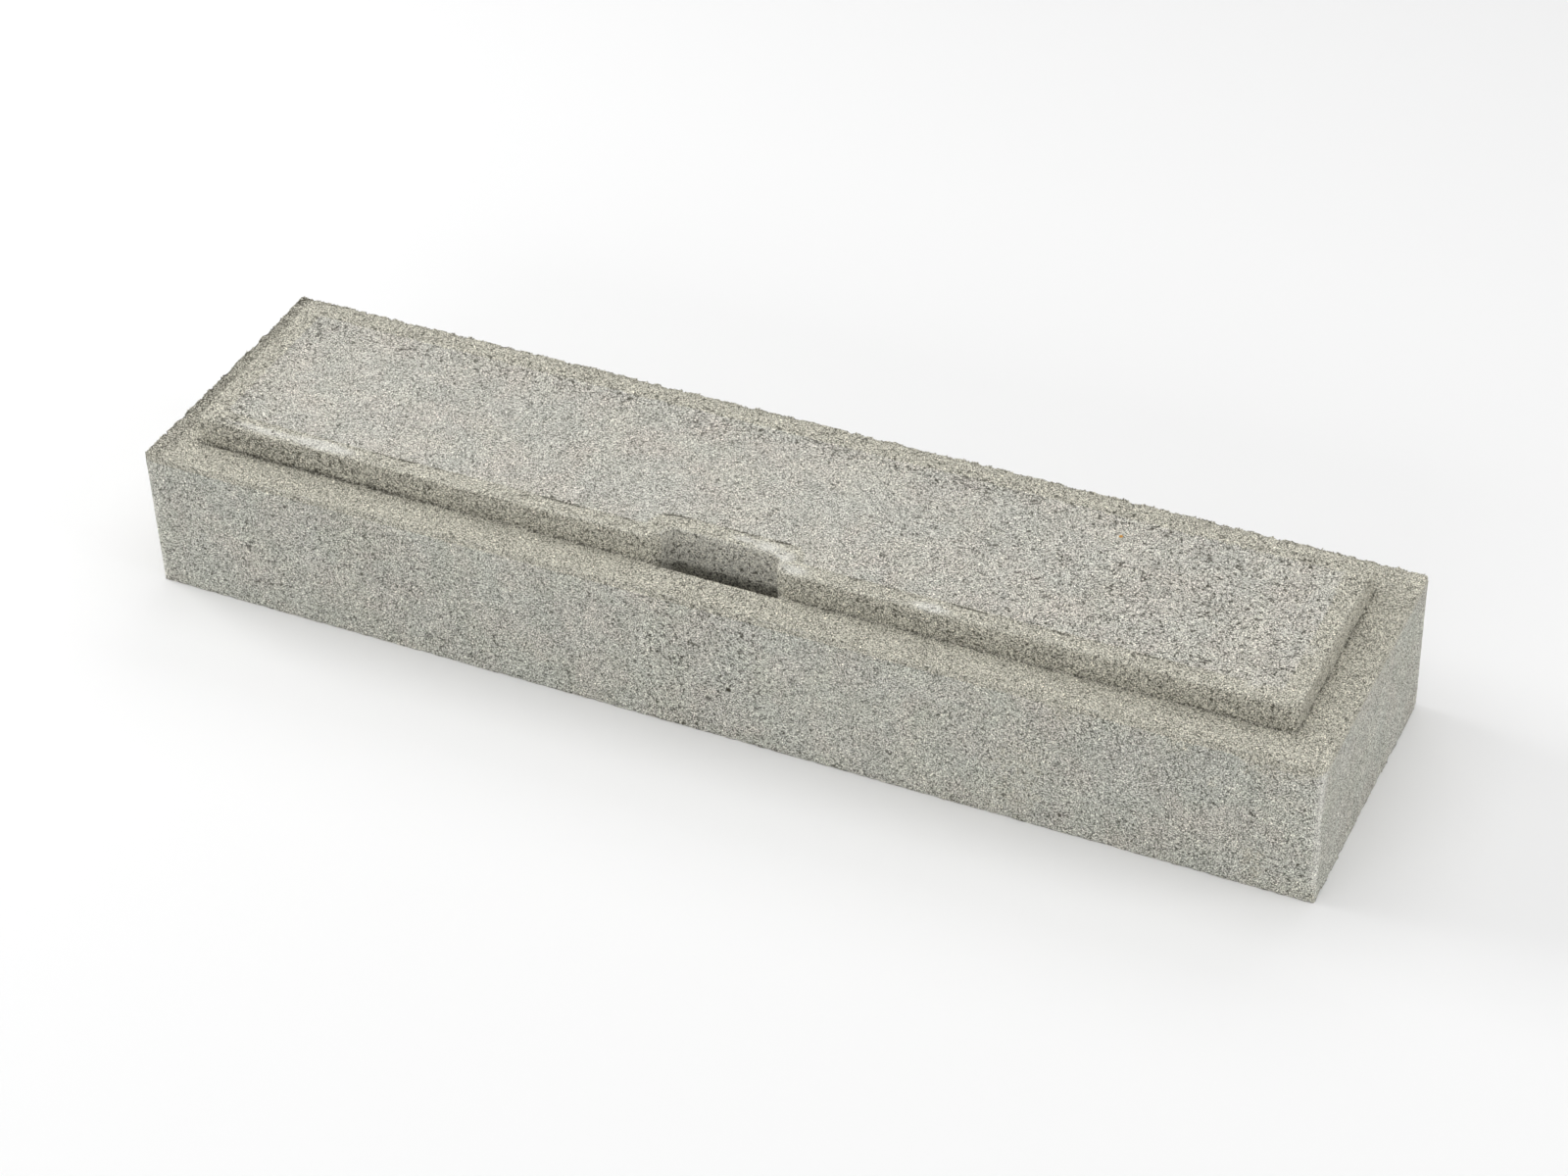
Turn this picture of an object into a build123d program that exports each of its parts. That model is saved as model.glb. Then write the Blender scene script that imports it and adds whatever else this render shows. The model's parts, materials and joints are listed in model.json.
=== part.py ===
"""Low precast concrete barrier block with a raised panel and a lifting slot.

The block is one casting. It stands on a flat underside, and its top is a
raised panel with a ledge all round it. A notch in the panel's front edge
opens a vertical slot in the block. Inside lies a light tied cage: bars along
the block, closed links round them, tie wires at the crossings and small
cover blocks that hold the cage off the bottom of the mould.

Frame: millimetres, X along the block, the slot on the -Y side, +Z up,
origin at the centre of the underside.
"""

import os
from math import cos, pi, sin, sqrt

from build123d import *

# Casting
length = 1000.0
width = 250.0
ledge_height = 128.0
ledge_width = 32.0
panel_rise = 24.0
block_corner_radius = 3.0
panel_corner_radius = 6.0
panel_edge_radius = 2.0

# Notch in the panel's front edge, and the slot below it
notch_length = 99.0
notch_depth = 19.0
notch_mouth_radius = min(10.0, notch_depth / 2)
notch_back_radius = min(8.0, notch_depth / 2 - 1)
slot_end_margin = 4.0
slot_front_margin = 2.5
slot_floor_cover = 21.0

# Cage
bar_diameter = 8.0
link_diameter = 6.0
link_bend_radius = 12.0
links_each_side = 3
cage_cover = 30.0
slot_cover = 22.0
end_link_inset = 35.0
slot_link_gap = 38.0
trimmer_lap = 150.0
seat_gap = 0.5
tie_wire_diameter = 1.6
tie_gap = 1.0

# Cover blocks under the end links
spacer_foot = 30.0
spacer_top = 20.0
spacer_saddle = 2.0
spacer_offset = 55.0

# Places that follow from the sizes above
front = -width / 2
panel_length = length - 2 * ledge_width
panel_width = width - 2 * ledge_width
panel_front = front + ledge_width
notch_back = panel_front + notch_depth
slot_front = panel_front - slot_front_margin
slot_length = notch_length + 2 * slot_end_margin
bar_radius = bar_diameter / 2
link_radius = link_diameter / 2

link_half_width = width / 2 - cage_cover - link_radius
link_bottom = cage_cover + link_radius
link_top = ledge_height - cage_cover - link_radius
link_middle = (link_bottom + link_top) / 2
link_half_height = (link_top - link_bottom) / 2
bend_centre_radius = link_bend_radius + link_radius

# A bar sits in the bend of a link, on the line at 45 degrees through its corner
seat_radius = link_bend_radius - bar_radius - seat_gap
corner_inset = bend_centre_radius - seat_radius * sqrt(0.5)
bar_y = link_half_width - corner_inset
bar_low = link_bottom + corner_inset
bar_high = link_top - corner_inset

slot_floor = bar_low + bar_radius + slot_floor_cover
bar_half_length = length / 2 - cage_cover
slot_bar_end = slot_length / 2 + slot_cover
trimmer_y = notch_back + slot_cover + bar_radius
trimmer_z = link_top - link_radius - seat_gap - bar_radius
trimmer_half_length = slot_length / 2 + trimmer_lap

first_link = slot_length / 2 + slot_link_gap + link_radius
last_link = length / 2 - cage_cover - end_link_inset
link_pitch = (last_link - first_link) / (links_each_side - 1)
link_places = [side * (first_link + i * link_pitch) for side in (-1, 1) for i in range(links_each_side)]
link_places.sort()

os.makedirs("parts", exist_ok=True)


def save(part, name):
    """Label a finished piece and write it to its own file."""
    part.label = name
    export_step(part, f"parts/{name}.step")


def make_bar(start, end, y, z):
    """Straight bar along X."""
    with BuildPart() as bar:
        with BuildSketch(Plane.YZ.offset(start)):
            with Locations((y, z)):
                Circle(bar_radius)
        extrude(amount=end - start)
    return bar.part


def make_link(x):
    """Closed link round the cage, in the plane across the block at x."""
    across = Plane(origin=(x, 0, link_middle), x_dir=(0, 1, 0), z_dir=(1, 0, 0))
    with BuildPart() as link:
        with BuildLine(across) as path:
            FilletPolyline(
                (-link_half_width, -link_half_height),
                (link_half_width, -link_half_height),
                (link_half_width, link_half_height),
                (-link_half_width, link_half_height),
                radius=bend_centre_radius,
                close=True,
            )
        with BuildSketch(Plane(origin=path.line @ 0, z_dir=path.line % 0)):
            Circle(link_radius)
        sweep()
    return link.part


def make_spacer(x, y, link):
    """Tapered cover block on the underside, with a saddle for the link above it."""
    with BuildPart() as spacer:
        with BuildSketch(Plane.XY):
            with Locations((x, y)):
                Rectangle(spacer_foot, spacer_foot)
        with BuildSketch(Plane.XY.offset(cage_cover + spacer_saddle)):
            with Locations((x, y)):
                Rectangle(spacer_top, spacer_top)
        loft()
        add(link, mode=Mode.SUBTRACT)
    return spacer.part


def tie_plane(x, y, z, angle, reach):
    """Plane of a tie wire: it slants across a bar and the link outside it."""
    outward = Vector(0, cos(angle), sin(angle))
    along_link = Vector(0, -sin(angle), cos(angle))
    slant = (Vector(1, 0, 0) + along_link).normalized()
    centre = Vector(x, y, z) + outward * reach
    return Plane(origin=centre, x_dir=outward, z_dir=outward.cross(slant))


# Links
links = {f"link_{number}": make_link(x) for number, x in enumerate(link_places, start=1)}

# Bars along the block; the top front bar stops on each side of the slot
bars = {
    "bottom_bar_front": make_bar(-bar_half_length, bar_half_length, -bar_y, bar_low),
    "bottom_bar_rear": make_bar(-bar_half_length, bar_half_length, bar_y, bar_low),
    "top_bar_front_left": make_bar(-bar_half_length, -slot_bar_end, -bar_y, bar_high),
    "top_bar_front_right": make_bar(slot_bar_end, bar_half_length, -bar_y, bar_high),
    "top_bar_rear": make_bar(-bar_half_length, bar_half_length, bar_y, bar_high),
    "slot_trimmer": make_bar(-trimmer_half_length, trimmer_half_length, trimmer_y, trimmer_z),
}

# Cover blocks under the two end links
spacers = {}
for end_name, link_name, x in (("left", "link_1", link_places[0]),
                               ("right", f"link_{len(link_places)}", link_places[-1])):
    for side_name, side in (("front", -1), ("rear", 1)):
        spacers[f"cover_spacer_{side_name}_{end_name}"] = make_spacer(x, side * spacer_offset, links[link_name])

# Tie wires: one at each crossing of a bar and a link
ring_radius = (bar_diameter + seat_gap + link_diameter) / 2 + tie_gap + tie_wire_diameter / 2
ring_reach = (seat_gap + link_diameter) / 2
corner_ties = (
    (-bar_y, bar_low, -3 * pi / 4),
    (bar_y, bar_low, -pi / 4),
    (bar_y, bar_high, pi / 4),
    (-bar_y, bar_high, 3 * pi / 4),
)
tie_planes = [tie_plane(x, y, z, angle, ring_reach) for x in link_places for y, z, angle in corner_ties]
tie_planes += [
    tie_plane(x, trimmer_y, trimmer_z, pi / 2, ring_reach)
    for x in link_places
    if abs(x) < trimmer_half_length
]
with BuildPart() as tie_wires:
    for plane in tie_planes:
        with Locations(plane.location):
            Torus(ring_radius, tie_wire_diameter / 2)

# Concrete block, cast round everything above
with BuildPart() as concrete_block:
    with BuildSketch(Plane.XY):
        RectangleRounded(length, width, block_corner_radius)
    extrude(amount=ledge_height)

    # Raised panel with the notch in its front edge
    with BuildSketch(Plane.XY.offset(ledge_height)) as panel_plan:
        RectangleRounded(panel_length, panel_width, panel_corner_radius)
        with Locations((0, panel_front)):
            Rectangle(notch_length, 2 * notch_depth, mode=Mode.SUBTRACT)
        corners = panel_plan.vertices().filter_by_position(Axis.X, -notch_length / 2 - 1, notch_length / 2 + 1)
        fillet(corners.group_by(Axis.Y)[0], notch_mouth_radius)
        corners = panel_plan.vertices().filter_by_position(Axis.X, -notch_length / 2 - 1, notch_length / 2 + 1)
        fillet(corners.group_by(Axis.Y)[-1], notch_back_radius)
    extrude(amount=panel_rise)
    fillet(concrete_block.faces().sort_by(Axis.Z)[-1].outer_wire().edges(), panel_edge_radius)

    # Slot: as wide as the notch lets it be, with a straight front edge in the ledge
    with BuildSketch(Plane.XY.offset(ledge_height)) as slot_plan:
        with Locations((0, (slot_front + notch_back) / 2)):
            Rectangle(slot_length, notch_back - slot_front)
        add(panel_plan.sketch, mode=Mode.SUBTRACT)
    extrude(amount=slot_floor - ledge_height, mode=Mode.SUBTRACT)

    # Room for the steel and the cover blocks
    for piece in (*links.values(), *bars.values(), *spacers.values(), tie_wires.part):
        add(piece, mode=Mode.SUBTRACT)

for name, part in {**links, **bars, **spacers}.items():
    save(part, name)
save(tie_wires.part, "tie_wires")
save(concrete_block.part, "concrete_block")
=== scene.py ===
"""Low precast concrete barrier block, with its raised panel, ledge, lifting slot and steel cage.

Lengths in the property groups are metres. The casting's mesh is worked out in millimetres, as its
moulded edges, crumbs and joints are, and scaled to metres when it is finished.
"""

import json
from math import cos, pi, radians, sin
from types import SimpleNamespace

import bpy
import numpy as np
from bpy.props import FloatProperty, FloatVectorProperty, IntProperty, PointerProperty
from mathutils import Matrix, Vector


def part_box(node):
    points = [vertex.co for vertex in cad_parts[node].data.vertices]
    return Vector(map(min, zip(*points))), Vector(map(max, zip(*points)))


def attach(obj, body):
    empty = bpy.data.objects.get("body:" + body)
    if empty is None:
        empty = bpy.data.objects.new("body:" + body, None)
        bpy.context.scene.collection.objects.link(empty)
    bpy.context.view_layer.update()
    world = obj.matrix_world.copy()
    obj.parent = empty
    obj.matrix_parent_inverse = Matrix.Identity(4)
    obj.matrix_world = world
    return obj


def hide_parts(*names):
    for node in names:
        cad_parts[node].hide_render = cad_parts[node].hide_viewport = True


bl_info = {
    "name": "Concrete barrier block",
    "version": (1, 0, 0),
    "blender": (4, 5, 0),
    "location": "View3D > Sidebar > Barrier",
    "description": "Builds a low precast barrier block with worn concrete and a reinforcing cage",
    "category": "Add Mesh",
}

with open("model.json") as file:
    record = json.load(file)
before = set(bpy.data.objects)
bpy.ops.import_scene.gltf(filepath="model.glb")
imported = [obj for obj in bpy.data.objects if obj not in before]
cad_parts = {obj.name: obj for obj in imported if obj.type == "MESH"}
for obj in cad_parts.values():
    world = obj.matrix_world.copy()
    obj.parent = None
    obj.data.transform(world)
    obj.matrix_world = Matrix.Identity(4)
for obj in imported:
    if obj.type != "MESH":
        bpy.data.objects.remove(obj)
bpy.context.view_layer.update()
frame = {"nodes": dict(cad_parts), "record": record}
block_low, block_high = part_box("concrete_block")

MM = 0.001
BODY = "root"

# Marks of pale cement skin on the panel's border: middle along and across, reach each way, in
# millimetres, and strength
PALE_MARKS = (
    (-402, -86.5, 40, 4.0, 0.9),
    (-352, -86, 26, 5.0, 1.4),
    (14, -66, 12, 4.0, 0.8),
    (34, -68, 12, 6.0, 1.0),
    (50, -74, 10, 7.0, 0.9),
    (64, -86, 12, 5.5, 0.9),
    (178, -88, 13, 4.5, 1.2),
    (455, -25, 6, 9.0, 0.5),
    (430, -78, 7, 5.0, 0.6),
)
# A rusty speck on the panel and a pit in the front, in millimetres
RUST_SPECK = (277, 50, 152)
FRONT_PIT = (23, -125, 50)

# Ribs rolled on the bars, in millimetres
RIB_PITCH = 5.6
RIB_HEIGHT = 0.35

# A difference too small to count, and a distance too large to, in millimetres
TOUCH = 1e-6
FAR = 99.0

# Lamps: degrees round the block and above the floor, then distance, width and height in metres
LAMPS = {
    "overhead": (0, 88, 2.6, 3.2, 2.4),
    "front": (0, 22, 3.0, 3.0, 0.6),
    "left": (-90, 30, 3.0, 1.6, 1.2),
    "right": (90, 25, 3.0, 1.6, 1.2),
    "behind": (180, 45, 3.0, 3.0, 1.2),
}


def size(name, description, default):
    """A length property in metres."""
    return FloatProperty(name=name, description=description, default=default, unit="LENGTH", precision=4)


def angle(name, description, degrees):
    """An angle property, given in degrees."""
    return FloatProperty(name=name, description=description, default=radians(degrees), subtype="ANGLE")


def lamp_power(name, place, watts):
    """The power of a lamp."""
    return FloatProperty(name=name, description=f"Power of the lamp {place}, in watts", default=watts)


def tint(name, description, default):
    """A colour property without alpha."""
    return FloatVectorProperty(
        name=name, description=description, default=default, subtype="COLOR", size=3, min=0.0, max=1.0
    )


def amount(name, description, default, low=0.0, high=1.0):
    """A plain factor."""
    return FloatProperty(name=name, description=description, default=default, min=low, max=high)


class BarrierCasting(bpy.types.PropertyGroup):
    """Sizes of the cast block that the frame's box doesn't give."""

    ledge_width: size("Ledge width", "From the block's side to the foot of the panel", 0.032)
    panel_rise: size("Panel rise", "Height of the panel above the ledge", 0.024)
    panel_corner: size("Panel corner", "Plan radius of the panel's corners", 0.007)
    block_corner: size("Block corner", "Radius of the upright edges", 0.003)
    border_width: size("Border width", "Smooth band round the top of the panel", 0.0154)
    notch_length: size("Notch length", "Notch in the panel's front edge, along the block", 0.099)
    notch_depth: size("Notch depth", "From the panel's front to the back of the notch", 0.019)
    notch_mouth: size("Notch mouth", "Radius of the notch's outer corners", 0.0098)
    notch_back: size("Notch back", "Radius of the notch's inner corners", 0.008)
    slot_front_margin: size("Slot front margin", "Slot's front edge, ahead of the panel", 0.0025)
    slot_end_margin: size("Slot end margin", "Slot's end past the notch's side", 0.004)
    slot_cover: size("Slot cover", "Concrete between the slot's floor and the bars", 0.021)
    foot_gap: size("Foot gap", "How far the cast underside stays above the cover blocks' feet", 0.00025)
    fine_step: size("Fine step", "Mesh spacing next to an edge", 0.0009)
    along_step: size("Step along", "Widest mesh spacing along the block", 0.002)
    across_step: size("Step across", "Widest mesh spacing across the block", 0.0026)
    upright_step: size("Upright step", "Widest mesh spacing up a side", 0.009)
    grains: IntProperty(
        name="Loose grains", description="Sand grains bound to the broken edges", default=4000
    )
    grain_radius: size("Loose grain radius", "Middle radius of those grains", 0.0009)
    seed: IntProperty(name="Seed", description="Start of the random surface", default=7)


class BarrierFinish(bpy.types.PropertyGroup):
    """Colours and strengths of the finishes."""

    cement: tint("Cement", "Neutral grey of the panel", (0.436, 0.426, 0.374))
    pressed: tint("Pressed cement", "Grey of the moulded sides", (0.412, 0.414, 0.358))
    sand: tint("Sand", "Sandy grey of loose edges and ledges", (0.408, 0.394, 0.332))
    rosy: tint("Rosy cement", "Faint warm patches", (0.440, 0.402, 0.362))
    bluish: tint("Bluish cement", "Faint cold patches", (0.392, 0.400, 0.366))
    # The laitance colour also paints light on the notch's walls and the ledge's front
    laitance_and_light: tint("Laitance", "Pale skin along pressed edges", (0.62, 0.61, 0.56))
    pore_shade: tint("Pore shade", "Open pores and cracks", (0.055, 0.050, 0.036))
    grain_size: size("Grain size", "Sand grains on the surface", 0.0006)
    grain_contrast: amount("Grain contrast", "How much one grain differs from the next", 2.3, high=3.0)
    grain_depth: size("Grain depth", "Height of the grains", 0.00006)
    mill_scale: tint("Mill scale", "Blue black skin of hot rolled bar", (0.055, 0.055, 0.06))
    rust_speck: tint("Rust speck", "Bit of iron in the sand, bled through", (0.55, 0.27, 0.05))
    rust: tint("Rust", "Light surface rust", (0.23, 0.085, 0.035))
    wire_black: tint("Wire", "Black annealed wire", (0.035, 0.034, 0.034))
    mortar: tint("Spacer mortar", "Cover blocks", (0.30, 0.30, 0.29))


class BarrierStage(bpy.types.PropertyGroup):
    """Camera, lamps and floor."""

    azimuth: angle("Azimuth", "Camera round the block", 26.40)
    elevation: angle("Elevation", "Camera above the floor", 38.05)
    roll: angle("Roll", "Camera tilt", -2.13)
    distance: size("Distance", "Camera to the point it looks at", 2.8874)
    aim: FloatVectorProperty(
        name="Aim",
        description="Point looked at",
        default=(0.0257, -0.0269, 0.08),
        subtype="XYZ",
        unit="LENGTH",
    )
    lens: FloatProperty(name="Lens", description="Focal length in millimetres", default=84.27)
    floor_reach: size("Floor reach", "From the block to the floor's edge", 14.0)
    floor_tint: tint("Floor", "Studio floor", (0.86, 0.86, 0.86))
    overhead: lamp_power("Overhead", "above", 21.0)
    front: lamp_power("Front", "low in front", 19.0)
    left: lamp_power("Left", "at the left", 38.5)
    right: lamp_power("Right", "at the right", 21.5)
    behind: lamp_power("Behind", "behind", 14.0)
    ambient: amount("Ambient", "Even light from all round", 0.45, high=10.0)


# ---------------------------------------------------------------- mesh helpers


def graded(stops, fine, coarse, growth=1.35):
    """Lines through every stop, close together beside a stop and wider between two."""
    lines = [stops[0]]
    for low, high in zip(stops, stops[1:]):
        half = (high - low) / 2
        steps = []
        step = fine
        while sum(steps) + step < half:
            steps.append(step)
            step = min(step * growth, coarse)
        steps = steps or [half]
        offsets = np.cumsum(steps) * half / sum(steps)
        lines += [low + offset for offset in offsets]
        lines += [high - offset for offset in offsets[-2::-1]]
        lines.append(high)
    return np.array(lines)


def skin_of(cells, lines):
    """Corner points and outward quads of the surface of a block of cells, without its underside."""
    padded = np.pad(cells, 1)
    shape = np.array(cells.shape) + 1
    stride = np.array([shape[1] * shape[2], shape[2], 1])
    quads = []
    for axis in range(3):
        first, second = stride[(axis + 1) % 3], stride[(axis + 2) % 3]
        change = np.diff(padded.astype(np.int8), axis=axis)
        keep = [slice(1, -1)] * 3
        keep[axis] = slice(None)
        change = change[tuple(keep)]
        for sign in (-1, 1):
            place = np.argwhere(change == sign)
            if axis == 2 and sign == 1:
                place = place[place[:, 2] > 0]
            corner = place @ stride
            ring = [corner, corner + first, corner + first + second, corner + second]
            quads.append(np.stack(ring if sign == -1 else ring[::-1], 1))
    quads = np.concatenate(quads)
    used, index = np.unique(quads, return_inverse=True)
    place = np.stack(np.unravel_index(used, shape), 1)
    points = np.stack([lines[axis][place[:, axis]] for axis in range(3)], 1)
    return points, index.reshape(-1, 4)


def round_corner(points, chosen, centre, toward, radius):
    """Carries the square corner of an outline onto its arc, in plan."""
    offset = (points[:, :2] - centre) * toward / radius
    inside = chosen & (offset > 0).all(1) & (offset.max(1) < 1.001)
    part = offset[inside]
    part *= (part.max(1) / np.hypot(part[:, 0], part[:, 1]))[:, None]
    points[inside, :2] = centre + part * toward * radius


def edge_pairs(quads):
    """Every edge of the mesh once, as pairs of points."""
    pairs = np.concatenate([quads[:, [i, (i + 1) % 4]] for i in range(4)])
    return np.unique(np.sort(pairs, 1), axis=0)


def relax(points, pairs, weight, rounds):
    """Rounds edges off by moving each point towards the middle of its neighbours."""
    count = np.bincount(pairs.ravel(), minlength=len(points))[:, None]
    for _ in range(rounds):
        total = np.zeros_like(points)
        for near, far in ((0, 1), (1, 0)):
            for axis in range(3):
                total[:, axis] += np.bincount(
                    pairs[:, near], weights=points[pairs[:, far], axis], minlength=len(points)
                )
        points += (total / count - points) * weight[:, None]


def normals_of(points, quads):
    """Outward direction at each point."""
    corner = points[quads]
    facing = np.cross(corner[:, 2] - corner[:, 0], corner[:, 3] - corner[:, 1])
    total = np.zeros_like(points)
    for i in range(4):
        for axis in range(3):
            total[:, axis] += np.bincount(quads[:, i], weights=facing[:, axis], minlength=len(points))
    return total / np.maximum(np.linalg.norm(total, axis=1), 1e-9)[:, None]


def rough(points, scale, seed):
    """Smooth random values from -1 to 1 that change over about `scale` millimetres."""
    table = np.random.default_rng(seed).uniform(-1, 1, 8192)
    place = points / scale
    cell = np.floor(place).astype(np.int64)
    part = place - cell
    part = part * part * (3 - 2 * part)
    value = np.zeros(len(points))
    for i in (0, 1):
        for j in (0, 1):
            for k in (0, 1):
                key = (cell[:, 0] + i) * 73856093 ^ (cell[:, 1] + j) * 19349663 ^ (cell[:, 2] + k) * 83492791
                share = (
                    np.where(i, part[:, 0], 1 - part[:, 0])
                    * np.where(j, part[:, 1], 1 - part[:, 1])
                    * np.where(k, part[:, 2], 1 - part[:, 2])
                )
                value += table[key % len(table)] * share
    return value


def bell(distance, width):
    """1 at the middle of a line and fading to 0 over its width."""
    return np.exp(-((distance / width) ** 2))


def ramp(value, low, high):
    """0 below low, 1 above high and smooth between."""
    part = np.clip((value - low) / (high - low), 0, 1)
    return part * part * (3 - 2 * part)


def new_piece(name, points, faces, material):
    """A mesh piece that rides on the block, with its finish."""
    mesh = bpy.data.meshes.new(name)
    mesh.from_pydata(points, [], faces)
    mesh.validate()
    mesh.shade_smooth()
    mesh.materials.append(material)
    piece = bpy.data.objects.new(name, mesh)
    bpy.context.scene.collection.objects.link(piece)
    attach(piece, BODY)
    return piece


# ---------------------------------------------------------------- node helpers


def add_node(tree, kind, values=(), **settings):
    """A node with its settings, and with values or links for its inputs."""
    node = tree.nodes.new(kind)
    for key, value in settings.items():
        setattr(node, key, value)
    for key, value in dict(values).items():
        if isinstance(value, bpy.types.NodeSocket):
            tree.links.new(value, node.inputs[key])
        else:
            node.inputs[key].default_value = value
    return node


def maths(tree, operation, first, second=0.0, clamp=False):
    """The result of a Math node."""
    node = add_node(tree, "ShaderNodeMath", {0: first, 1: second}, operation=operation, use_clamp=clamp)
    return node.outputs[0]


def plus(tree, first, second):
    """The sum of two values."""
    return maths(tree, "ADD", first, second)


def minus(tree, first, second, clamp=False):
    """The first value less the second."""
    return maths(tree, "SUBTRACT", first, second, clamp)


def times(tree, first, second, clamp=False):
    """The product of two values."""
    return maths(tree, "MULTIPLY", first, second, clamp)


def larger(tree, first, second):
    """The larger of two values."""
    return maths(tree, "MAXIMUM", first, second)


def vector_maths(tree, operation, first, second, key=1):
    """The vector result of a Vector Math node; key is Scale where the second input is a number."""
    return add_node(tree, "ShaderNodeVectorMath", {0: first, key: second}, operation=operation).outputs[0]


def distance_to(tree, place, point):
    """Distance of each place from one point."""
    node = add_node(tree, "ShaderNodeVectorMath", {0: place, 1: point}, operation="DISTANCE")
    return node.outputs["Value"]


def cell_pattern(tree, vector, scale):
    """The distance and random colour, as three chances, of a 3D cell pattern."""
    values = {"Vector": vector, "Scale": scale}
    found = add_node(tree, "ShaderNodeTexVoronoi", values, voronoi_dimensions="3D", feature="F1").outputs
    return found["Distance"], add_node(tree, "ShaderNodeSeparateColor", {"Color": found["Color"]}).outputs


def as_grey(tree, red, blue=None):
    """A colour with equal red and green, and its own blue if one is given."""
    values = {"X": red, "Y": red, "Z": blue or red}
    return add_node(tree, "ShaderNodeCombineXYZ", values).outputs[0]


def fade(tree, value, low, high, start=0.0, end=1.0):
    """A smooth Map Range from low..high to start..end."""
    values = {"Value": value, "From Min": low, "From Max": high, "To Min": start, "To Max": end}
    return add_node(tree, "ShaderNodeMapRange", values, interpolation_type="SMOOTHSTEP").outputs["Result"]


def blend_colour(tree, factor, first, second, how="MIX"):
    """Two colours mixed by a factor."""
    node = tree.nodes.new("ShaderNodeMix")
    node.data_type = "RGBA"
    node.blend_type = how
    node.clamp_factor = True
    for key, value in ((0, factor), (6, first), (7, second)):
        if isinstance(value, bpy.types.NodeSocket):
            tree.links.new(value, node.inputs[key])
        elif key == 0:
            node.inputs[key].default_value = value
        else:
            node.inputs[key].default_value = (*value, 1.0)
    return node.outputs[2]


def noise(tree, vector, scale, detail=2.0, roughness=0.5, distortion=0.0):
    """A 3D noise value; scale is in cycles per millimetre."""
    values = {"Vector": vector, "Scale": scale, "Detail": detail, "Roughness": roughness}
    values["Distortion"] = distortion
    return add_node(tree, "ShaderNodeTexNoise", values, noise_dimensions="3D").outputs["Fac"]


def new_group(name, inputs, outputs):
    """An empty shader node group with named sockets: its tree, input node and output node."""
    tree = bpy.data.node_groups.new(name, "ShaderNodeTree")
    for title, kind, default in inputs:
        socket = tree.interface.new_socket(title, in_out="INPUT", socket_type=kind)
        if default is not None:
            socket.default_value = default
    for title, kind in outputs:
        tree.interface.new_socket(title, in_out="OUTPUT", socket_type=kind)
    return tree, tree.nodes.new("NodeGroupInput").outputs, tree.nodes.new("NodeGroupOutput").inputs


def use_group(tree, group, values):
    """A group placed in a material, with its own values."""
    node = tree.nodes.new("ShaderNodeGroup")
    node.node_tree = group
    for key, value in values.items():
        if isinstance(value, bpy.types.NodeSocket):
            tree.links.new(value, node.inputs[key])
        else:
            node.inputs[key].default_value = value
    return node.outputs


def grain_group():
    """Sand grains bound in cement: each has its own tone and height, and a sunken gap round it darkened with
    painted shade, as are the pits of missing grains.
    """
    tree, given, result = new_group(
        "Sand grain",
        [
            ("Vector", "NodeSocketVector", None),
            ("Size", "NodeSocketFloat", 1.0),
            ("Contrast", "NodeSocketFloat", 1.0),
        ],
        [("Tone", "NodeSocketFloat"), ("Height", "NodeSocketFloat")],
    )
    spread = None
    for scale, shading, sinking in ((1.0, 0.80, 0.55), (0.60, 0.10, 0.42)):
        distance, chance = cell_pattern(tree, given["Vector"], maths(tree, "DIVIDE", scale, given["Size"]))
        shade = times(tree, minus(tree, chance[0], 0.5), shading)
        # Painted shade where a grain is missing and in the sunken gap round each grain
        missing_grain_shade = times(tree, maths(tree, "GREATER_THAN", chance[1], 0.90), 0.75 * shading)
        gap = fade(tree, distance, 0.38, 0.85, 0.0, sinking)
        shade = minus(tree, minus(tree, shade, missing_grain_shade), gap)
        spread = plus(tree, spread, shade) if spread else shade
    glint = times(tree, maths(tree, "GREATER_THAN", chance[2], 0.997), 0.6)
    spread = plus(tree, spread, glint)
    fine = noise(tree, given["Vector"], 2.3, detail=1.0, roughness=0.7)
    spread = plus(tree, spread, times(tree, minus(tree, fine, 0.175), 1.2))
    tone = plus(tree, 1.0, times(tree, spread, given["Contrast"]))
    tree.links.new(larger(tree, tone, 0.12), result["Tone"])
    tree.links.new(plus(tree, spread, 1.0), result["Height"])
    return tree


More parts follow.
